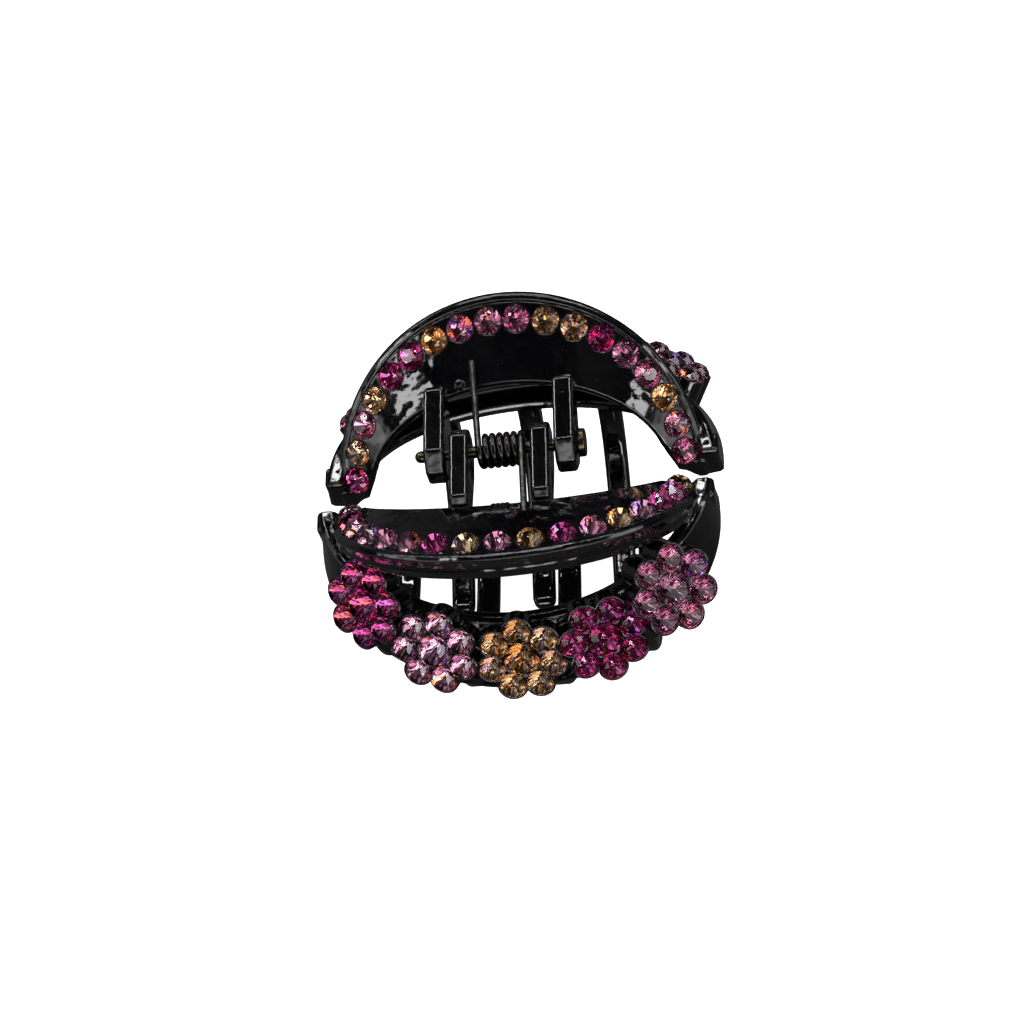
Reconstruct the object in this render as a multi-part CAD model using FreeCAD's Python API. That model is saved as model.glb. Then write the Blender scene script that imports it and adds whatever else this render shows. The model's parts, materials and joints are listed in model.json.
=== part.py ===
import FreeCAD, Part

import math
import os

from FreeCAD import Matrix, Placement, Rotation, Vector

# Rhinestone hair clip: two moulded jaws on one hinge pin, a torsion spring and set stones.
# Millimetres, drawn about the middle of the hinge pin's axis and lifted by HINGE_HEIGHT when
# saved. +X runs along the pin, +Z points up towards the handles, +Y points to the rear jaw.

# ---------------------------------------------------------------- stones
SMALL_STONE_R = 1.525      # 12ss pointed-back
LARGE_STONE_R = 2.0        # 16ss pointed-back
GIRDLE_TOP = 0.16          # above the face the stone is set in
GIRDLE_LOW = -0.08
STONE_CROWN = 0.26         # crown height as a share of the stone's diameter
STONE_BACK_DEPTH = 0.80    # pointed back below the face, as a share of the radius
STONE_TABLE = 0.54         # table radius as a share of the stone's radius
STONE_STAR = 0.78          # radius and height of the ring between table and girdle
STONE_STAR_RISE = 0.62
STONE_CULET = 0.10
STONE_FOLDS = 8
POCKET_CLEARANCE = 0.03
ROW_MOUTH = 2.0
FLOWER_MOUTH = 1.1          # clears the neighbouring pads as well
PETALS = 7
PETAL_RING_R = 3.56
REAR_ROW_COUNT = 18
ROW_END_ANGLE = 85.0       # degrees from the middle of the handle to the last stone
FRONT_ROW_COUNT = 17

# ---------------------------------------------------------------- hinge
HINGE_X = -0.5             # the hinge sits a little left of the jaws' middle
PIN_R = 0.68
PIN_LEFT_X = -9.6
PIN_RIGHT_X = 8.0
PIN_HEAD_R = 1.6
PIN_HEAD_LENGTH = 0.9
PIN_RUNNING_CLEARANCE = 0.05
REAR_EAR_OFFSET = 7.25
REAR_EAR_WIDTH = 2.3
FRONT_EAR_OFFSET = 4.5
FRONT_EAR_WIDTH = 2.1
REAR_EAR_R = 3.0
FRONT_EAR_R = 2.6
EAR_ROOT_Y = 7.7
EAR_FILLET = 0.45

# ---------------------------------------------------------------- spring
WIRE_R = 0.38
COIL_MEAN_R = 1.62
COIL_PITCH = 0.80
COIL_TURNS = 6
LEG_TIP_Y = 10.0
LEG_TIP_Z = 3.05
LEG_SPREAD_X = 0.45        # each leg leans outward by this much at its tip

# ---------------------------------------------------------------- jaw
JAW_GAP = 2.2              # between the two jaws' ends when closed
HANDLE_THICKNESS = 1.9
RIM_WIDTH = 1.05
RIM_RISE = 0.4
RIM_DEPTH_MID = 4.2        # outer wall below the rim bead
RIM_DEPTH_END = 2.3
END_TRIM_X = (15.8, 18.2)   # slanted inner corner at each end of the handle
END_TRIM_Y = 3.2
END_TRIM_Z = (-11.0, -2.0)
RIM_GROOVE = 0.22
STONE_INSET_MID = 2.0      # row of stones, from the foot of the rim bead
STONE_INSET_END = 1.3
BAND_THICKNESS = 2.0
BAND_WIDTH_MID = 9.2
BAND_WIDTH_END = 5.0
BAND_LEAN_MID = 33.0       # degrees the band's outer face looks up
BAND_LEAN_END = 5.0
BAND_CHAMFER = 0.45
FLANGE_REACH = 3.4         # inward flange along the band's lower edge
FLANGE_THICKNESS = 1.6
PAD_ROOT = 0.4             # depth of a pad behind the band's face
PAD_LOBE_R = 1.75
PAD_CORE_R = 3.6
HANDLE_SECTIONS = 17
BAND_SECTIONS = 17
JUNCTION_SIZE = (3.4, 2.6, 4.4)
JUNCTION_CENTRE = (21.0, 2.9, -9.3)

# ---------------------------------------------------------------- teeth
TOOTH_WIDTH = 2.8
TOOTH_ROOT_THICKNESS = 3.0
TOOTH_TIP_THICKNESS = 1.9
TOOTH_TIP_Y = -3.2
TOOTH_TIP_Z = -30.4
TOOTH_FILLET = 0.8
TOOTH_FULLNESS = 1.0
TOOTH_INSET = 2.9          # root's middle line behind the band's outer face
HINGE_HEIGHT = TOOTH_TIP_THICKNESS / 2 - TOOTH_TIP_Z
REAR_TEETH = (3, -0.2, 9.9)     # count, middle, pitch
FRONT_TEETH = (4, -2.0, 9.9)


class Arc:
    """A half-ring line of the rear jaw, from its left end round to its right end.

    half_x is the half width. y and z each hold (value at the ends, value in the middle,
    exponent): the exponent sets how full the line is between the middle and the ends.
    """

    def __init__(self, half_x, y, z):
        self.half_x = half_x
        self.y = y
        self.z = z

    def point(self, angle):
        full = max(math.cos(angle), 0.0)
        y_end, y_mid, y_power = self.y
        z_end, z_mid, z_power = self.z
        return Vector(
            self.half_x * math.sin(angle),
            y_end + (y_mid - y_end) * full ** y_power,
            z_end + (z_mid - z_end) * full ** z_power,
        )

    def tangent(self, angle, step=0.01):
        return (self.point(angle + step) - self.point(angle - step)).normalize()


HANDLE_INNER = Arc(16.9, (1.3, 7.6, 1.2), (-7.4, 1.5, 1.05))
HANDLE_RIM = Arc(20.2, (1.0, 16.1, 0.95), (-9.3, 5.5, 0.95))
BAND = Arc(22.7, (1.4, 18.9, 0.9), (-9.4, -12.9, 2.4))
REAR_SHELL_SHIFT = 0.4     # handle and band sit a little to one side of the hinge
FRONT_SHELL_SHIFT = -0.4

FLOWER_ANGLES = (-49.3, -24.4, 0.0, 23.5, 47.4)
FLOWER_RISES = (1.8, 0.2, 0.1, 0.1, 1.6)   # up the band from its middle line
FLOWER_TILTS = (13.0, 3.0, 0.0, 3.0, 15.0)  # degrees the pad looks up more than the band
FLOWER_PHASES = (97.0, 96.0, 88.0, 65.0, 64.0)
PAD_PROUDS = (1.0, 1.4, 1.4, 1.4, 2.3)     # pad's face in front of the band


# ---------------------------------------------------------------- frames on the jaw
def handle_frame(angle):
    """Inner point, horizontal direction to the rim, distance along it and rise."""
    inner = HANDLE_INNER.point(angle)
    rim = HANDLE_RIM.point(angle)
    across = Vector(rim.x - inner.x, rim.y - inner.y, 0)
    run = across.Length
    across.normalize()
    return inner, across, run, rim.z - inner.z


def band_lean(angle):
    lean = BAND_LEAN_END + (BAND_LEAN_MID - BAND_LEAN_END) * math.cos(angle) ** 0.8
    return math.radians(lean)


def band_frame(angle):
    """Point on the band's outer face, the outward normal and the direction down the face."""
    flat = BAND.tangent(angle)
    flat.z = 0
    flat.normalize()
    outward = Vector(-flat.y, flat.x, 0)
    lean = band_lean(angle)
    up = Vector(0, 0, 1)
    normal = outward * math.cos(lean) + up * math.sin(lean)
    down = outward * math.sin(lean) - up * math.cos(lean)
    return BAND.point(angle), normal, down


def band_width(angle):
    return BAND_WIDTH_END + (BAND_WIDTH_MID - BAND_WIDTH_END) * math.cos(angle) ** 0.6


def frame_placement(origin, normal, x_hint):
    """Placement whose Z axis is normal and whose X axis is as near x_hint as it can be."""
    y_axis = normal.cross(x_hint).normalize()
    x_axis = y_axis.cross(normal)
    matrix = Matrix(
        x_axis.x, y_axis.x, normal.x, origin.x,
        x_axis.y, y_axis.y, normal.y, origin.y,
        x_axis.z, y_axis.z, normal.z, origin.z,
    )
    return Placement(matrix)


# ---------------------------------------------------------------- jaw pieces
def closed_wire(points):
    return Part.makePolygon(points + [points[0]])


def rim_depth(angle):
    return RIM_DEPTH_END + (RIM_DEPTH_MID - RIM_DEPTH_END) * math.cos(angle) ** 0.7


def handle_section(angle):
    inner, across, run, rise = handle_frame(angle)
    depth = rim_depth(angle)
    length = math.hypot(run, rise)
    slope = Vector(across.x * run, across.y * run, rise) * (1.0 / length)
    normal = Vector(0, 0, 1) * (run / length) - across * (rise / length)

    def at(along, above):
        return inner + slope * along + normal * above

    lip = at(length + RIM_WIDTH, 0.0)
    return closed_wire([
        at(0.0, -0.4),
        at(0.3, 0.0),
        at(length - 0.15, 0.0),
        at(length + 0.10, RIM_RISE),
        at(length + RIM_WIDTH - 0.35, RIM_RISE),
        lip,
        lip - across * RIM_GROOVE - Vector(0, 0, 0.55 * depth),
        lip - Vector(0, 0, 0.62 * depth),
        lip - Vector(0, 0, depth - 0.25),
        lip - across * 0.3 - Vector(0, 0, depth),
        lip - across * 1.0 - Vector(0, 0, depth),
        at(length - 0.6, -HANDLE_THICKNESS),
        at(0.5, -HANDLE_THICKNESS),
        at(0.0, -HANDLE_THICKNESS + 0.5),
    ])


def band_section(angle):
    centre, normal, down = band_frame(angle)
    half = band_width(angle) / 2
    cut = BAND_CHAMFER
    up = Vector(0, 0, 1)
    inward = (up * normal.z - normal).normalize()
    flange = inward * (FLANGE_REACH * math.cos(angle) ** 0.6)

    def at(out, along):
        return centre + normal * out + down * along

    heel = at(-BAND_THICKNESS, half) - up * 0.2
    return closed_wire([
        at(-cut, -half),
        at(0.0, -half + cut),
        at(0.0, half - cut),
        at(-cut, half),
        heel + flange,
        heel + flange + up * (FLANGE_THICKNESS - 0.4) + inward * 0.3,
        heel + flange + up * FLANGE_THICKNESS,
        at(-BAND_THICKNESS, half - FLANGE_THICKNESS - 0.2),
        at(-BAND_THICKNESS, -half + cut),
        at(-BAND_THICKNESS + cut, -half),
    ])


def loft_ring(section, count):
    last = math.radians(89.0)
    wires = [section(-last + 2 * last * i / (count - 1)) for i in range(count)]
    return Part.makeLoft(wires, True, False)


def junction(side):
    """Block that joins the end of the handle to the end of the band."""
    size = Vector(*JUNCTION_SIZE)
    centre = Vector(side * JUNCTION_CENTRE[0], JUNCTION_CENTRE[1], JUNCTION_CENTRE[2])
    block = Part.makeBox(size.x, size.y, size.z, centre - size * 0.5)
    return block.makeFillet(0.5, block.Edges)


def flower_placement(index):
    """Frame on the front of one flower pad: Z out of the pad, Y up the band."""
    centre, normal, down = band_frame(math.radians(FLOWER_ANGLES[index]))
    origin = centre + normal * PAD_PROUDS[index] - down * FLOWER_RISES[index]
    tilt = math.radians(FLOWER_TILTS[index])
    facing = normal * math.cos(tilt) - down * math.sin(tilt)
    return frame_placement(origin, facing, normal.cross(down))


def petal_offsets(index):
    phase = math.radians(FLOWER_PHASES[index])
    turns = [phase + 2 * math.pi * k / PETALS for k in range(PETALS)]
    return [Vector(PETAL_RING_R * math.cos(a), PETAL_RING_R * math.sin(a), 0) for a in turns]


def flower_pad(index):
    lever = PETAL_RING_R * math.sin(math.radians(FLOWER_TILTS[index]))
    depth = PAD_ROOT + PAD_PROUDS[index] + lever
    base = Vector(0, 0, -depth)
    lobes = [Part.makeCylinder(PAD_LOBE_R, depth, p + base) for p in petal_offsets(index)]
    pad = Part.makeCylinder(PAD_CORE_R, depth, base).multiFuse(lobes).removeSplitter()
    pad.Placement = flower_placement(index)
    return pad


def band_angle_at(x):
    return math.asin(max(-1.0, min(1.0, x / BAND.half_x)))


def tooth(x, shell_shift):
    """A bar that hangs from the band, curls inward and ends past the middle of the clip."""
    centre, normal, down = band_frame(band_angle_at(x - shell_shift))
    root = centre - normal * TOOTH_INSET + down * (0.38 * BAND_WIDTH_MID)
    drop = root.z - TOOTH_TIP_Z
    reach = root.y - TOOTH_TIP_Y
    steps = 12
    outer = []
    inner = []
    for i in range(steps + 1):
        turn = 0.5 * math.pi * i / steps
        middle = Vector(
            x,
            TOOTH_TIP_Y + reach * math.cos(turn) ** TOOTH_FULLNESS if i < steps else TOOTH_TIP_Y,
            root.z - drop * math.sin(turn) ** 0.9,
        )
        away = Vector(0, drop * math.cos(turn), -reach * math.sin(turn)).normalize()
        half = 0.5 * (TOOTH_ROOT_THICKNESS + (TOOTH_TIP_THICKNESS - TOOTH_ROOT_THICKNESS) * i / steps)
        outer.append(middle + away * half)
        inner.append(middle - away * half)
    outline = [
        spline(outer),
        tip_arc(outer[-1], inner[-1]),
        spline(inner[::-1]),
        Part.LineSegment(inner[0], outer[0]).toShape(),
    ]
    face = Part.Face(Part.Wire(outline))
    face.translate(Vector(-TOOTH_WIDTH / 2, 0, 0))
    bar = face.extrude(Vector(TOOTH_WIDTH, 0, 0))
    long_edges = [e for e in bar.Edges if abs(e.tangentAt(e.FirstParameter).x) < 0.5]
    rounded = [e for e in long_edges if e.BoundBox.ZMin < root.z - 1.5]
    return bar.makeFillet(TOOTH_FILLET, rounded).common(tooth_plan(x))


def tooth_plan(x):
    """Upright slab whose round end trims the tooth's tip to a half circle from above."""
    r = TOOTH_WIDTH / 2
    end = TOOTH_TIP_Y - TOOTH_TIP_THICKNESS / 2 + r
    height = HINGE_HEIGHT + 10
    low = -HINGE_HEIGHT - 1
    disc = Part.makeCylinder(r, height, Vector(x, end, low))
    slab = Part.makeBox(2 * r, 40, height, Vector(x - r, end, low))
    return disc.fuse(slab)


def spline(points):
    curve = Part.BSplineCurve()
    curve.interpolate(points)
    return curve.toShape()


def tip_arc(start, end):
    middle = (start + end) * 0.5
    out = Vector(0, -1, 0) * ((start - end).Length / 2)
    return Part.Arc(start, middle + out, end).toShape()


def teeth(layout, shell_shift):
    count, middle, pitch = layout
    return [tooth(middle + pitch * (i - (count - 1) / 2), shell_shift) for i in range(count)]


def ear(x, width, reach):
    """Hinge ear, a bar from the handle's inner edge to a rounded end about the pin."""
    flat = 0.36 * reach
    outline = [
        Vector(x, EAR_ROOT_Y - 0.8, reach),
        Vector(x, -flat, reach),
        Vector(x, -reach, flat),
        Vector(x, -reach, -flat),
        Vector(x, -flat, -reach),
        Vector(x, 2.2, -reach),
        Vector(x, EAR_ROOT_Y, -1.0),
        Vector(x, EAR_ROOT_Y, reach - 0.8),
    ]
    face = Part.Face(closed_wire(outline))
    face.translate(Vector(-width / 2, 0, 0))
    bar = face.extrude(Vector(width, 0, 0))
    return bar.makeFillet(EAR_FILLET, bar.Edges)


def ears(offset, width, reach):
    return [ear(HINGE_X + side * offset, width, reach) for side in (-1, 1)]


def leg_guide_post():
    """Small post beside the spring leg, on the handle's inner edge."""
    post = Part.makeCylinder(0.5, 2.2, Vector(-4.9, 8.3, 0.6), Vector(0, -0.35, 1))
    top = max(post.Edges, key=lambda e: e.BoundBox.ZMax)
    return post.makeFillet(0.2, [top])


def gate_bump():
    """Ribbed bump in the middle of the other handle, just inside its inner edge."""
    ribs = [
        Part.makeCylinder(
            0.36, 1.5, Vector(HINGE_X - 0.75 + 0.5 * i, 7.9, 1.45), Vector(0, 1.0, 0.45)
        )
        for i in range(4)
    ]
    return ribs[0].multiFuse(ribs[1:])


# ---------------------------------------------------------------- stones
def stone(radius):
    """Faceted pointed-back stone, the face it is set in at Z = 0."""
    crown = STONE_CROWN * 2 * radius
    folds = range(STONE_FOLDS)

    def ring(r, z, offset):
        turns = [2 * math.pi * (k + offset) / STONE_FOLDS for k in folds]
        return [Vector(r * math.cos(a), r * math.sin(a), z) for a in turns]

    table = ring(radius * STONE_TABLE, GIRDLE_TOP + crown, 0.0)
    star = ring(radius * STONE_STAR, GIRDLE_TOP + crown * STONE_STAR_RISE, 0.5)
    top = ring(radius, GIRDLE_TOP, 0.0)
    top_between = ring(radius, GIRDLE_TOP, 0.5)
    low = ring(radius, GIRDLE_LOW, 0.0)
    low_between = ring(radius, GIRDLE_LOW, 0.5)
    culet = ring(radius * STONE_CULET, -radius * STONE_BACK_DEPTH, 0.0)
    faces = [table, culet[::-1]]
    for k in folds:
        after = (k + 1) % STONE_FOLDS
        faces.append([table[k], star[k], table[after]])
        faces.append([table[k], star[k - 1], top[k]])
        faces.append([table[k], top[k], star[k]])
        faces.append([star[k], top[k], top_between[k]])
        faces.append([star[k], top_between[k], top[after]])
        faces.append([top[k], low[k], low_between[k], top_between[k]])
        faces.append([top_between[k], low_between[k], low[after], top[after]])
        faces.append([culet[k], low[k], low_between[k]])
        faces.append([culet[k], low_between[k], culet[after]])
        faces.append([culet[after], low_between[k], low[after]])
    shell = Part.makeShell([Part.Face(closed_wire(f)) for f in faces])
    return Part.makeSolid(shell)


def pocket(radius, rise):
    """Straight mouth, cut to rise above the face, over a cone for the stone's pointed back."""
    r = radius + POCKET_CLEARANCE
    floor = -radius * STONE_BACK_DEPTH
    mouth = Part.makeCylinder(r, rise - GIRDLE_LOW, Vector(0, 0, GIRDLE_LOW))
    cone = Part.makeCone(
        radius * STONE_CULET + POCKET_CLEARANCE, r, GIRDLE_LOW - floor, Vector(0, 0, floor)
    )
    return mouth.fuse(cone)


def row_angles(count):
    """Equally spaced stations round the handle, found by walking along the rim."""
    steps = 400
    last = math.radians(ROW_END_ANGLE)
    stations = [-last + 2 * last * i / steps for i in range(steps + 1)]
    points = [row_point(a) for a in stations]
    walked = [0.0]
    for before, after in zip(points, points[1:]):
        walked.append(walked[-1] + (after - before).Length)
    found = []
    for k in range(count):
        target = walked[-1] * k / (count - 1)
        i = min(range(steps + 1), key=lambda n: abs(walked[n] - target))
        found.append(stations[i])
    return found


def row_point(angle):
    inner, across, run, rise = handle_frame(angle)
    inset = STONE_INSET_END + (STONE_INSET_MID - STONE_INSET_END) * math.cos(angle)
    share = 1 - inset / math.hypot(run, rise)
    return inner + across * (run * share) + Vector(0, 0, rise * share)


def row_placement(angle):
    inner, across, run, rise = handle_frame(angle)
    slope = across * run + Vector(0, 0, rise)
    along = (row_point(angle + 0.02) - row_point(angle - 0.02)).normalize()
    normal = along.cross(slope).normalize()
    return frame_placement(row_point(angle), normal, along)


def place(shape, placement):
    copy = shape.copy()
    copy.Placement = placement.multiply(copy.Placement)
    return copy


def flower_stones(index):
    frame = flower_placement(index)
    small = stone(SMALL_STONE_R)
    petals = [place(small, frame.multiply(Placement(p, Rotation()))) for p in petal_offsets(index)]
    return petals, place(stone(LARGE_STONE_R), frame)


def flower_pockets(index):
    frame = flower_placement(index)
    small = pocket(SMALL_STONE_R, FLOWER_MOUTH)
    cuts = [place(small, frame.multiply(Placement(p, Rotation()))) for p in petal_offsets(index)]
    return cuts + [place(pocket(LARGE_STONE_R, FLOWER_MOUTH), frame)]


def row_stones(count):
    small = stone(SMALL_STONE_R)
    return [place(small, row_placement(a)) for a in row_angles(count)]


def row_pockets(count):
    small = pocket(SMALL_STONE_R, ROW_MOUTH)
    return [place(small, row_placement(a)) for a in row_angles(count)]


# ---------------------------------------------------------------- whole jaws
def end_trim(side):
    """Wedge that slants the inner corner of the handle's end."""
    low_x, high_x = END_TRIM_X
    corners = [
        Vector(side * (low_x - 2), 0, END_TRIM_Z[0]),
        Vector(side * (high_x + 0.6), 0, END_TRIM_Z[0]),
        Vector(side * high_x, JAW_GAP / 2, END_TRIM_Z[0]),
        Vector(side * low_x, END_TRIM_Y, END_TRIM_Z[0]),
        Vector(side * (low_x - 2), END_TRIM_Y, END_TRIM_Z[0]),
    ]
    return Part.Face(closed_wire(corners)).extrude(Vector(0, 0, END_TRIM_Z[1] - END_TRIM_Z[0]))


def jaw(tooth_layout, ear_shapes, extras, row_count, pin_bore_r, shell_shift):
    """One jaw in the rear position. The front jaw is such a shape mirrored in Y."""
    flowers = range(len(FLOWER_ANGLES))
    aside = Vector(shell_shift, 0, 0)
    band = [loft_ring(band_section, BAND_SECTIONS)]
    band += [junction(side) for side in (-1, 1)]
    band += [flower_pad(i) for i in flowers]
    solid = loft_ring(handle_section, HANDLE_SECTIONS).multiFuse(band).translated(aside)
    keep = Part.makeBox(60, 40, 60, Vector(-30, JAW_GAP / 2, -40))
    solid = solid.common(keep).cut([end_trim(side).translated(aside) for side in (-1, 1)])
    solid = solid.multiFuse(teeth(tooth_layout, shell_shift) + ear_shapes + extras)
    cuts = row_pockets(row_count)
    for i in flowers:
        cuts += flower_pockets(i)
    cuts = [cut.translated(aside) for cut in cuts]
    cuts.append(Part.makeCylinder(pin_bore_r, 40, Vector(-20, 0, 0), Vector(1, 0, 0)))
    return solid.cut(Part.makeCompound(cuts))


def mirrored(shape):
    return shape.mirror(Vector(0, 0, 0), Vector(0, 1, 0))


def hinge_pin():
    shaft = Part.makeCylinder(PIN_R, PIN_RIGHT_X - PIN_LEFT_X, Vector(PIN_LEFT_X, 0, 0), Vector(1, 0, 0))
    head = Part.makeCylinder(PIN_HEAD_R, PIN_HEAD_LENGTH, Vector(PIN_RIGHT_X, 0, 0), Vector(1, 0, 0))
    head = head.makeFillet(0.25, head.Edges)
    dome = Part.makeSphere(PIN_R, Vector(PIN_LEFT_X, 0, 0))
    return shaft.multiFuse([head, dome])


def torsion_spring():
    """Close-wound coil about the pin with one straight leg on each handle, swept in one piece."""
    tip = math.atan2(LEG_TIP_Z, LEG_TIP_Y)
    leave = tip + math.acos(COIL_MEAN_R / math.hypot(LEG_TIP_Y, LEG_TIP_Z))
    turns = COIL_TURNS + (math.pi - 2 * leave) / (2 * math.pi)
    length = turns * COIL_PITCH
    helix = Part.makeHelix(COIL_PITCH, length, COIL_MEAN_R)
    along_pin = Matrix(0, 0, 1, HINGE_X - length / 2, 1, 0, 0, 0, 0, 1, 0, 0)
    spun = Placement(Vector(), Rotation(Vector(0, 0, 1), math.degrees(leave)))
    helix.Placement = Placement(along_pin).multiply(spun)
    left_start = Vector(HINGE_X - length / 2, COIL_MEAN_R * math.cos(leave), COIL_MEAN_R * math.sin(leave))
    right_start = Vector(HINGE_X + length / 2, -left_start.y, left_start.z)
    left_tip = Vector(left_start.x - LEG_SPREAD_X, LEG_TIP_Y, LEG_TIP_Z)
    right_tip = Vector(right_start.x + LEG_SPREAD_X, -LEG_TIP_Y, LEG_TIP_Z)
    path = Part.Wire(
        [Part.makeLine(left_tip, left_start)] + helix.Edges + [Part.makeLine(right_start, right_tip)]
    )
    profile = Part.Wire(Part.makeCircle(WIRE_R, left_tip, left_start - left_tip))
    return path.makePipeShell([profile], True, True)


# ---------------------------------------------------------------- output
REAR_ROW = (
    "fuchsia champagne rose champagne fuchsia fuchsia champagne rose mauve "
    "rose champagne champagne fuchsia mauve rose champagne mauve rose"
).split()
FRONT_ROW = (
    "champagne fuchsia rose mauve rose rose fuchsia champagne rose "
    "champagne fuchsia rose champagne mauve fuchsia fuchsia champagne"
).split()


def save(shape, name):
    """Every part is drawn about the hinge; the file has the lowest tooth tip at Z = 0."""
    lifted = shape.translated(Vector(0, 0, HINGE_HEIGHT))
    lifted.exportStep(os.path.join("parts", name + ".step"))


def save_row(prefix, shell_shift, turn, colours):
    aside = Vector(shell_shift, 0, 0)
    stones = [turn(s.translated(aside)) for s in row_stones(len(colours))]
    for colour in sorted(set(colours)):
        chosen = [s for s, c in zip(stones, colours) if c == colour]
        save(Part.makeCompound(chosen), prefix + "_row_" + colour)


def save_flowers(prefix, shell_shift, turn):
    aside = Vector(shell_shift, 0, 0)
    for i in range(len(FLOWER_ANGLES)):
        petals, centre = flower_stones(i)
        name = prefix + "_flower_" + str(i + 1)
        save(turn(Part.makeCompound(petals).translated(aside)), name + "_petals")
        save(turn(centre.translated(aside)), name + "_centre")


def main():
    os.makedirs("parts", exist_ok=True)
    rear_ears = ears(REAR_EAR_OFFSET, REAR_EAR_WIDTH, REAR_EAR_R)
    front_ears = ears(FRONT_EAR_OFFSET, FRONT_EAR_WIDTH, FRONT_EAR_R)
    front_bore = PIN_R + PIN_RUNNING_CLEARANCE
    rear = jaw(REAR_TEETH, rear_ears, [leg_guide_post()], REAR_ROW_COUNT, PIN_R, REAR_SHELL_SHIFT)
    front = jaw(
        FRONT_TEETH, front_ears, [gate_bump()], FRONT_ROW_COUNT, front_bore, FRONT_SHELL_SHIFT
    )
    save(rear, "rear_jaw")
    save(mirrored(front), "front_jaw")
    save(hinge_pin(), "hinge_pin")
    save(torsion_spring(), "torsion_spring")
    save_row("rear", REAR_SHELL_SHIFT, lambda shape: shape, REAR_ROW)
    save_row("front", FRONT_SHELL_SHIFT, mirrored, FRONT_ROW)
    save_flowers("rear", REAR_SHELL_SHIFT, lambda shape: shape)
    save_flowers("front", FRONT_SHELL_SHIFT, mirrored)
    for name, shape in (("rear", rear), ("front", front)):
        print(name, "solids", len(shape.Solids), "valid", shape.isValid(), "volume", round(shape.Volume, 1))


main()
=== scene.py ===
import json
import math

import bpy
import numpy as np
from mathutils import Matrix, Vector

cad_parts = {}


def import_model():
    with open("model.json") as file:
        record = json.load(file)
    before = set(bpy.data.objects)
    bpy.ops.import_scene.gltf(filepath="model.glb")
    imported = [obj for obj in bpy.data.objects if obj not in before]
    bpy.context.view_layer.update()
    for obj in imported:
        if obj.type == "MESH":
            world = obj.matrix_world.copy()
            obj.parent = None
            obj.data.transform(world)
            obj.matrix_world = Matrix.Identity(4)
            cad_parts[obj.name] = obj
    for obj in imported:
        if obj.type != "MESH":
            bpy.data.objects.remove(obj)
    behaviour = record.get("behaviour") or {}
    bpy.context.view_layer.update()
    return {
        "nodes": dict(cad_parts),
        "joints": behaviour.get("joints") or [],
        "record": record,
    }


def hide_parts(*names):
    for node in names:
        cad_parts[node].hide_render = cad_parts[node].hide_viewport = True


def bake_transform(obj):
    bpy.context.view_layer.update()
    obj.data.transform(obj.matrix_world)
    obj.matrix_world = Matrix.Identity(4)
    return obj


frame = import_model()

# Rhinestone hair clip. Metres. The hinge axis runs along X at HINGE. The frame gives the
# shapes, and this file gives their finish, a separate copy of the spring wire, the floor,
# the light and the camera.

MM = 0.001
EDGE_ROUNDING = 0.34 * MM       # radius the plastic's edges seem to have
RAIL_RADIANCE = 3.2             # bright rail round the room, as the plastic sees it
STONE_RADIANCE = 6.5            # brightest patch of the room, as seen through a stone
NEAR_BOX = 0.50                 # distance of the soft boxes from the hinge
FAR_BOX = 0.55
FLOOR_SIZE = 3.0
FLOOR_DROP = 0.05 * MM          # keeps the floor clear of the lowest tooth
PAPER_GLOW = 0.95
CAMERA_TURN = 14.0              # degrees to the clip's right of straight in front
CAMERA_HEIGHT = 57.7            # degrees above the horizon
CAMERA_ROLL = 17.2
CAMERA_DISTANCE = 264 * MM
CAMERA_LENS = 83.8
CAMERA_SHIFT = (0.0056, -0.0612)
HINGE = Vector(frame["joints"][0]["pos_m"])
NODES = frame["nodes"]


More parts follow.
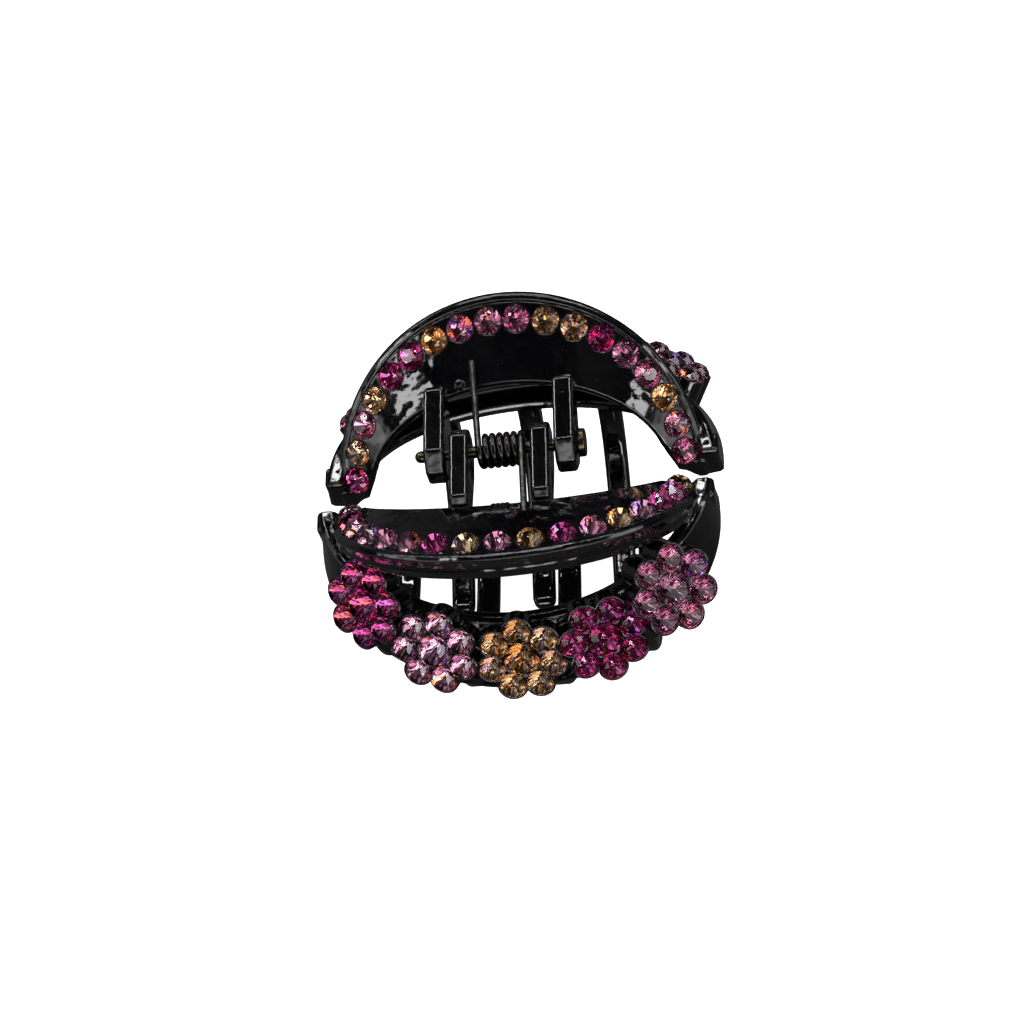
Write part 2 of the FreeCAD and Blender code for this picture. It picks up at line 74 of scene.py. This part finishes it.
# ---------------------------------------------------------------- node helpers
class Graph:
    """Short calls for building one node tree."""

    def __init__(self, tree):
        self.tree = tree
        tree.nodes.clear()

    def add(self, kind, inputs=None, **settings):
        node = self.tree.nodes.new(kind)
        for name, value in settings.items():
            setattr(node, name, value)
        for name, value in (inputs or {}).items():
            self.put(node.inputs[name], value)
        return node

    def put(self, socket, value):
        if isinstance(value, bpy.types.NodeSocket):
            self.tree.links.new(value, socket)
        else:
            socket.default_value = value

    def math(self, operation, a, b=0.0, clamp=False):
        node = self.add("ShaderNodeMath", operation=operation, use_clamp=clamp)
        self.put(node.inputs[0], a)
        self.put(node.inputs[1], b)
        return node.outputs[0]

    def ramp(self, value, stops, interpolation="LINEAR"):
        node = self.add("ShaderNodeValToRGB", {"Fac": value})
        node.color_ramp.interpolation = interpolation
        elements = node.color_ramp.elements
        while len(elements) < len(stops):
            elements.new(0.5)
        for element, (position, colour) in zip(elements, stops):
            element.position = position
            element.color = colour if isinstance(colour, tuple) else (colour, colour, colour, 1)
        return node.outputs["Color"]

    def mix(self, factor, a, b, blend="MIX"):
        node = self.add("ShaderNodeMix", data_type="RGBA", blend_type=blend)
        self.put(node.inputs[0], factor)
        self.put(node.inputs[6], a)
        self.put(node.inputs[7], b)
        return node.outputs[2]

    def lerp(self, factor, a, b):
        node = self.add("ShaderNodeMix", data_type="FLOAT")
        self.put(node.inputs[0], factor)
        self.put(node.inputs[2], a)
        self.put(node.inputs[3], b)
        return node.outputs[0]

    def millimetres(self, scale=(1, 1, 1), offset=(0, 0, 0)):
        """Object coordinates in millimetres."""
        coords = self.add("ShaderNodeTexCoord").outputs["Object"]
        size = tuple(s / MM for s in scale)
        return self.add(
            "ShaderNodeMapping", {"Vector": coords, "Scale": size, "Location": offset}
        ).outputs["Vector"]

    def noise(self, vector, scale, detail=2.0, roughness=0.5):
        node = self.add(
            "ShaderNodeTexNoise",
            {"Vector": vector, "Scale": scale, "Detail": detail, "Roughness": roughness},
        )
        return node.outputs["Fac"]

    def bump(self, height, distance, normal=None, strength=1.0):
        node = self.add(
            "ShaderNodeBump", {"Height": height, "Distance": distance, "Strength": strength}
        )
        if normal is not None:
            self.put(node.inputs["Normal"], normal)
        return node.outputs["Normal"]


def material(name):
    made = bpy.data.materials.new(name)
    made.use_nodes = True
    return made, Graph(made.node_tree)


def finish_material(graph, shader):
    graph.add("ShaderNodeOutputMaterial", {"Surface": shader})


def rgb(r, g, b):
    return (r, g, b, 1.0)


# ---------------------------------------------------------------- black plastic
def black_plastic():
    made, g = material("black_plastic")
    mm = g.millimetres()
    rounded = g.add("ShaderNodeBevel", {"Radius": EDGE_ROUNDING}, samples=8).outputs["Normal"]
    flat_normal = g.add("ShaderNodeNewGeometry").outputs["Normal"]
    dot = g.add("ShaderNodeVectorMath", {0: rounded, 1: flat_normal}, operation="DOT_PRODUCT")
    edge = g.ramp(dot.outputs["Value"], [(0.90, 1.0), (0.995, 0.0)])
    flow = g.noise(g.millimetres((0.35, 0.35, 0.9)), 1.0, 3.0)
    sink = g.noise(mm, 0.55, 1.0)
    peel = g.noise(mm, 2.4, 2.0)
    hair = g.noise(g.millimetres((0.35, 7.0, 5.0), (3, 1, 7)), 1.3, 3.0, 0.6)
    scratch = g.ramp(hair, [(0.66, 0.0), (0.72, 1.0)])
    smear = g.ramp(g.noise(mm, 0.28, 4.0, 0.6), [(0.45, 0.0), (0.68, 1.0)])
    specks = g.noise(mm, 6.5, 1.0)
    dust = g.ramp(specks, [(0.775, 0.0), (0.80, 1.0)])
    normal = g.bump(sink, 0.085 * MM, rounded)
    normal = g.bump(peel, 0.0045 * MM, normal)
    normal = g.bump(scratch, 0.002 * MM, normal)
    normal = g.bump(dust, 0.010 * MM, normal)
    tone = g.mix(flow, rgb(0.0006, 0.0006, 0.0009), rgb(0.0022, 0.0020, 0.0026))
    # The edge mask lifts the base colour towards grey on the rounded edges: a faint painted edge
    # highlight.
    tone = g.mix(g.math("MULTIPLY", edge, 0.25), tone, rgb(0.02, 0.02, 0.022))
    tone = g.mix(g.math("MULTIPLY", dust, 0.20), tone, rgb(0.12, 0.10, 0.09))
    rough = g.lerp(smear, 0.04, 0.12)
    rough = g.math("ADD", rough, g.math("MULTIPLY", scratch, 0.06))
    rough = g.math("ADD", rough, g.math("MULTIPLY", edge, 0.05))
    rough = g.math("ADD", rough, g.math("MULTIPLY", dust, 0.35))
    body = g.add(
        "ShaderNodeBsdfPrincipled",
        {
            "Base Color": tone,
            "Roughness": rough,
            "IOR": 1.50,
            "Normal": normal,
            "Coat Weight": 0.15,
            "Coat Roughness": 0.05,
            "Coat Normal": normal,
        },
    )
    finish_material(g, body.outputs["BSDF"])
    return made


# ---------------------------------------------------------------- metals
def metal(name, dark, light, rough_range, grain):
    """Drawn metal: streaks along X, mottled tarnish and fine pits."""
    made, g = material(name)
    rounded = g.add("ShaderNodeBevel", {"Radius": 0.08 * MM}, samples=4).outputs["Normal"]
    streak = g.noise(g.millimetres((0.5, 9.0, 9.0)), 1.0, 3.0)
    mottle = g.noise(g.millimetres(), 1.9, 4.0, 0.6)
    pits = g.ramp(g.noise(g.millimetres(), 7.0, 2.0), [(0.62, 0.0), (0.75, 1.0)])
    colour = g.mix(g.ramp(mottle, [(0.35, 0.0), (0.7, 1.0)]), dark, light)
    rough = g.lerp(streak, *rough_range)
    rough = g.math("ADD", rough, g.math("MULTIPLY", pits, 0.2))
    normal = g.bump(streak, grain * MM, rounded)
    normal = g.bump(pits, -0.006 * MM, normal)
    body = g.add(
        "ShaderNodeBsdfPrincipled",
        {"Base Color": colour, "Metallic": 1.0, "Roughness": rough, "Normal": normal},
    )
    finish_material(g, body.outputs["BSDF"])
    return made


# ---------------------------------------------------------------- stones
# Crown tint, foil tint, and the foil tint that some stones of the colour drift to.
STONE_TINTS = {
    "champagne": ((1.0, 0.88, 0.74), (0.95, 0.68, 0.44), (0.97, 0.76, 0.52)),
    "fuchsia": ((1.0, 0.60, 0.82), (0.80, 0.15, 0.44), (0.72, 0.20, 0.50)),
    "mauve": ((1.0, 0.84, 0.90), (0.84, 0.50, 0.62), (0.76, 0.47, 0.62)),
    "rose": ((1.0, 0.80, 0.88), (0.90, 0.46, 0.60), (0.84, 0.44, 0.64)),
}
# Strength of the coloured flashes: painted orange and blue glints in the foil's colour.
GLINTS = {"champagne": 0.8, "fuchsia": 0.5, "mauve": 0.8, "rose": 0.8}


def facet_hash(g, seed):
    """A number that stays the same over one facet of one stone."""
    geometry = g.add("ShaderNodeNewGeometry")
    snapped = g.add(
        "ShaderNodeVectorMath",
        {0: geometry.outputs["True Normal"], 1: (0.06, 0.06, 0.06)},
        operation="SNAP",
    ).outputs["Vector"]
    return g.add(
        "ShaderNodeTexWhiteNoise",
        {"Vector": snapped, "W": g.math("ADD", geometry.outputs["Random Per Island"], seed)},
        noise_dimensions="4D",
    ).outputs["Value"]


def stone_crown(colour):
    tint, foil, drift = STONE_TINTS[colour]
    made, g = material("crown_" + colour)
    island = g.add("ShaderNodeNewGeometry").outputs["Random Per Island"]
    shade = g.mix(island, rgb(*tint), rgb(*[0.5 * (a + b) for a, b in zip(tint, drift)]))
    cloudy = g.noise(g.millimetres(), 1.6, 3.0)
    rough = g.lerp(g.ramp(cloudy, [(0.60, 0.0), (0.80, 1.0)]), 0.0, 0.02)
    polish = g.bump(g.noise(g.millimetres(), 0.9, 0.0), 0.002 * MM)
    glass = g.add(
        "ShaderNodeBsdfPrincipled",
        {
            "Base Color": shade,
            "Roughness": rough,
            "IOR": 1.40,
            "Transmission Weight": 1.0,
            "Normal": polish,
        },
    )
    finish_material(g, glass.outputs["BSDF"])
    return made


def stone_foil(colour):
    tint, foil, drift = STONE_TINTS[colour]
    made, g = material("foil_" + colour)
    island = g.add("ShaderNodeNewGeometry").outputs["Random Per Island"]
    base = g.mix(island, rgb(*foil), rgb(*drift))
    # Each facet's foil colour is made lighter or darker: painted light and shade across the
    # facets.
    light = g.lerp(facet_hash(g, seed=1.7), 0.30, 1.0)
    grey = g.add("ShaderNodeCombineColor", {0: light, 1: light, 2: light}).outputs[0]
    base = g.mix(1.0, base, grey, "MULTIPLY")
    # Painted glints in the foil's colour: orange and blue flashes of fire and near-white flashes
    # on single facets.
    flash = facet_hash(g, seed=5.3)
    amount = GLINTS[colour]
    warm_glint = g.ramp(flash, [(0.0, 0.0), (0.95, amount)], "CONSTANT")
    cool_glint = g.ramp(flash, [(0.0, amount), (0.05, 0.0)], "CONSTANT")
    pale = g.ramp(flash, [(0.0, 0.0), (0.42, 0.7), (0.50, 0.0)], "CONSTANT")
    base = g.mix(warm_glint, base, rgb(1.0, 0.36, 0.06))
    base = g.mix(cool_glint, base, rgb(0.42, 0.34, 1.0))
    base = g.mix(pale, base, rgb(1.0, 0.94, 0.96))
    worn = g.noise(g.millimetres(), 4.0, 2.0)
    mirror = g.add(
        "ShaderNodeBsdfPrincipled",
        {
            "Base Color": base,
            "Metallic": 1.0,
            "Roughness": g.lerp(worn, 0.0, 0.05),
            "Normal": g.bump(g.noise(g.millimetres(), 1.1, 0.0), 0.002 * MM),
        },
    )
    finish_material(g, mirror.outputs["BSDF"])
    return made


def stone_islands(mesh):
    """Polygon indices of each separate stone in a mesh whose seams are split."""
    keys = {}
    vertex_key = []
    for vertex in mesh.vertices:
        key = tuple(round(c / (0.001 * MM)) for c in vertex.co)
        vertex_key.append(keys.setdefault(key, len(keys)))
    parent = list(range(len(keys)))

    def root(i):
        while parent[i] != i:
            parent[i] = parent[parent[i]]
            i = parent[i]
        return i

    for polygon in mesh.polygons:
        first = root(vertex_key[polygon.vertices[0]])
        for index in polygon.vertices[1:]:
            parent[root(vertex_key[index])] = first
    groups = {}
    for polygon in mesh.polygons:
        groups.setdefault(root(vertex_key[polygon.vertices[0]]), []).append(polygon.index)
    return list(groups.values())


def stone_axis(points):
    """Unit axis of one stone, pointing out of its face: the end with the wider flat."""
    spread = points - points.mean(axis=0)
    _, directions = np.linalg.eigh(spread.T @ spread)
    axis = directions[:, 0]
    along = spread @ axis
    radius = np.linalg.norm(spread - np.outer(along, axis), axis=1)
    top = radius[along > along.max() - 0.02 * MM].mean()
    bottom = radius[along < along.min() + 0.02 * MM].mean()
    return axis if top > bottom else -axis


def dress_stones(node, crown, foil):
    """Glass on the crown and girdle, mirror foil on the pointed back."""
    mesh = node.data
    mesh.materials.clear()
    mesh.materials.append(crown)
    mesh.materials.append(foil)
    for island in stone_islands(mesh):
        used = sorted({v for i in island for v in mesh.polygons[i].vertices})
        points = np.array([mesh.vertices[v].co for v in used])
        points = np.unique(np.round(points, 7), axis=0)
        axis = stone_axis(points)
        for i in island:
            polygon = mesh.polygons[i]
            facing_back = float(np.dot(polygon.normal, axis)) < -0.1
            polygon.material_index = 1 if facing_back else 0
            polygon.use_smooth = False


def node_colour(name):
    """Stone colour of a node, from the record's material slots."""
    for part in frame["record"]["subparts"]:
        if part["node"] == name:
            return part["material_slot"].replace("stone_", "")
    raise KeyError(name)


crowns = {colour: stone_crown(colour) for colour in STONE_TINTS}
foils = {colour: stone_foil(colour) for colour in STONE_TINTS}
for name, node in NODES.items():
    if "_row_" in name or "_flower_" in name:
        colour = node_colour(name)
        dress_stones(node, crowns[colour], foils[colour])


def dress(node, finish):
    node.data.materials.clear()
    node.data.materials.append(finish)


plastic = black_plastic()
dress(NODES["rear_jaw"], plastic)
dress(NODES["front_jaw"], plastic)
pin_metal = metal(
    "pin_steel", rgb(0.012, 0.011, 0.011), rgb(0.10, 0.075, 0.045), (0.20, 0.36), 0.006
)
dress(NODES["hinge_pin"], pin_metal)
spring_metal = metal(
    "spring_steel", rgb(0.018, 0.018, 0.020), rgb(0.075, 0.07, 0.066), (0.14, 0.30), 0.004
)


# ---------------------------------------------------------------- torsion spring
def winding_spring():
    """The spring wire as its own mesh in spring steel, in place of the hidden rigid spring node.
    """
    rigid = NODES["torsion_spring"]
    wire = bpy.data.objects.new("spring_wire", rigid.data.copy())
    bpy.context.scene.collection.objects.link(wire)
    wire.data.materials.clear()
    wire.data.materials.append(spring_metal)
    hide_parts("torsion_spring")
    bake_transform(wire)


winding_spring()


# ---------------------------------------------------------------- stage
def floor():
    """Pale paper. Only the camera sees it bright, so that the plastic's lower faces stay dark."""
    half = FLOOR_SIZE / 2
    z = -FLOOR_DROP
    mesh = bpy.data.meshes.new("floor")
    corners = [(-half, -half, z), (half, -half, z), (half, half, z), (-half, half, z)]
    mesh.from_pydata(corners, [], [(0, 1, 2, 3)])
    obj = bpy.data.objects.new("floor", mesh)
    bpy.context.scene.collection.objects.link(obj)
    made, g = material("floor")
    seen = g.add("ShaderNodeLightPath").outputs["Is Camera Ray"]
    strength = g.lerp(seen, 0.01, PAPER_GLOW)
    glow = g.add("ShaderNodeEmission", {"Color": rgb(1, 1, 1), "Strength": strength})
    grain = g.noise(g.millimetres(), 0.05, 2.0)
    pale = g.mix(grain, rgb(0.80, 0.80, 0.80), rgb(0.84, 0.84, 0.84))
    paper = g.add(
        "ShaderNodeBsdfPrincipled",
        {"Base Color": g.mix(seen, rgb(0.03, 0.03, 0.03), pale), "Roughness": 0.9},
    )
    both = g.add("ShaderNodeAddShader", {0: glow.outputs[0], 1: paper.outputs[0]})
    finish_material(g, both.outputs[0])
    mesh.materials.append(made)


floor()


def area_light(name, direction, distance, size, radiance, tint=(1, 1, 1)):
    """Soft box aimed at the hinge, size across and up. Stones show it on their faces only."""
    data = bpy.data.lights.new(name, "AREA")
    data.shape = "RECTANGLE"
    data.size, data.size_y = size
    data.energy = radiance * math.pi * size[0] * size[1]
    data.color = tint
    lamp = bpy.data.objects.new(name, data)
    out = Vector(direction).normalized()
    lamp.location = HINGE + out * distance
    lamp.rotation_mode = "QUATERNION"
    lamp.rotation_quaternion = out.to_track_quat("Z", "Y")
    lamp.visible_transmission = False
    bpy.context.scene.collection.objects.link(lamp)


# Two boxes make the bright patches on the rear handle, one the glow on the right-hand band.
area_light("box_right", (0.62, -0.36, 0.69), NEAR_BOX, (0.045, 0.10), 9.0)
area_light("box_left", (-0.61, -0.25, 0.75), NEAR_BOX, (0.040, 0.12), 9.0)
area_light("box_side", (0.79, 0.22, 0.57), NEAR_BOX, (0.04, 0.20), 6.0)
# The long box in front draws the streak along the front rim; the others outline the edges.
area_light("box_front", (0.22, -0.93, 0.28), FAR_BOX, (0.60, 0.10), 8.0, (1.0, 0.98, 0.95))
area_light("box_top", (0.0, 0.22, 0.97), FAR_BOX, (0.46, 0.04), 20.0)
area_light("box_back", (-0.1, 0.77, 0.62), FAR_BOX, (0.40, 0.035), 22.0)
area_light("edge_left", (-0.60, 0.52, 0.60), FAR_BOX, (0.03, 0.30), 25.0)
area_light("edge_right", (0.47, 0.52, 0.71), FAR_BOX, (0.03, 0.30), 25.0)


def dark_room(g, ray, x, y, z):
    """What the plastic reflects: near black, with a broken bright rail in front and aside."""
    room = g.ramp(g.noise(ray, 2.6, 1.0), [(0.40, 0.001), (0.68, 0.03)])
    rail = g.ramp(z, [(0.18, 0.0), (0.28, 1.0), (0.50, 1.0), (0.58, 0.0)])
    aside = g.math("MULTIPLY", g.math("ABSOLUTE", x), 0.66)
    near = g.math("SUBTRACT", aside, g.math("MULTIPLY", y, 0.75))
    near = g.ramp(near, [(0.25, 0.0), (0.50, 1.0)])
    broken = g.ramp(g.noise(ray, 3.7, 1.0), [(0.40, 0.25), (0.60, 1.0)])
    rail = g.mix(1.0, g.mix(1.0, rail, broken, "MULTIPLY"), near, "MULTIPLY")
    return g.mix(1.0, room, rail, "ADD")


def patchy_room(g, ray, x, y):
    """What a stone's foil reflects: bright patches, dimmer to the left, brighter behind."""
    lamps = g.ramp(
        g.noise(ray, 1.9, 0.5), [(0.42, 0.01), (0.51, 0.09), (0.56, 0.33), (0.60, 1.0)]
    )
    from_left = g.math("MULTIPLY", x, -1.0)
    lamps = g.mix(1.0, lamps, g.ramp(from_left, [(0.0, 1.0), (0.5, 0.20)]), "MULTIPLY")
    far_side = g.ramp(y, [(0.35, 0.45), (0.80, 1.0)])
    return g.mix(1.0, lamps, far_side, "MULTIPLY")


def world():
    """One room for the plastic, another for light that has been through a stone, and plain
    paper for the camera."""
    made = bpy.data.worlds.new("studio")
    bpy.context.scene.world = made
    made.use_nodes = True
    g = Graph(made.node_tree)
    ray = g.add("ShaderNodeTexCoord").outputs["Generated"]
    x, y, z = g.add("ShaderNodeSeparateXYZ", {"Vector": ray}).outputs
    path = g.add("ShaderNodeLightPath")
    inside = g.math("GREATER_THAN", path.outputs["Transmission Depth"], 0.5)
    seen = path.outputs["Is Camera Ray"]
    level = g.mix(inside, dark_room(g, ray, x, y, z), patchy_room(g, ray, x, y))
    level = g.mix(seen, level, rgb(PAPER_GLOW, PAPER_GLOW, PAPER_GLOW))
    strength = g.lerp(seen, g.lerp(inside, RAIL_RADIANCE, STONE_RADIANCE), 1.0)
    back = g.add("ShaderNodeBackground", {"Color": level, "Strength": strength})
    g.add("ShaderNodeOutputWorld", {"Surface": back.outputs[0]})


world()


def camera():
    """Above and in front, turned a little to the right, with the picture rolled."""
    turn, height, roll = (math.radians(a) for a in (CAMERA_TURN, CAMERA_HEIGHT, CAMERA_ROLL))
    right = Vector((math.cos(turn), math.sin(turn), 0))
    back = Vector(
        (math.sin(turn) * math.cos(height), -math.cos(turn) * math.cos(height), math.sin(height))
    )
    up = back.cross(right)
    rolled_right = right * math.cos(roll) - up * math.sin(roll)
    rolled_up = right * math.sin(roll) + up * math.cos(roll)
    data = bpy.data.cameras.new("camera")
    data.sensor_width = 36
    data.lens = CAMERA_LENS
    data.shift_x, data.shift_y = CAMERA_SHIFT
    data.clip_start = 0.01
    data.clip_end = 10
    obj = bpy.data.objects.new("camera", data)
    axes = Matrix((rolled_right, rolled_up, back)).transposed()
    obj.matrix_world = Matrix.Translation(HINGE + back * CAMERA_DISTANCE) @ axes.to_4x4()
    bpy.context.scene.collection.objects.link(obj)
    bpy.context.scene.camera = obj


camera()
bpy.context.scene.view_settings.view_transform = "Standard"
bpy.context.scene.view_settings.look = "None"
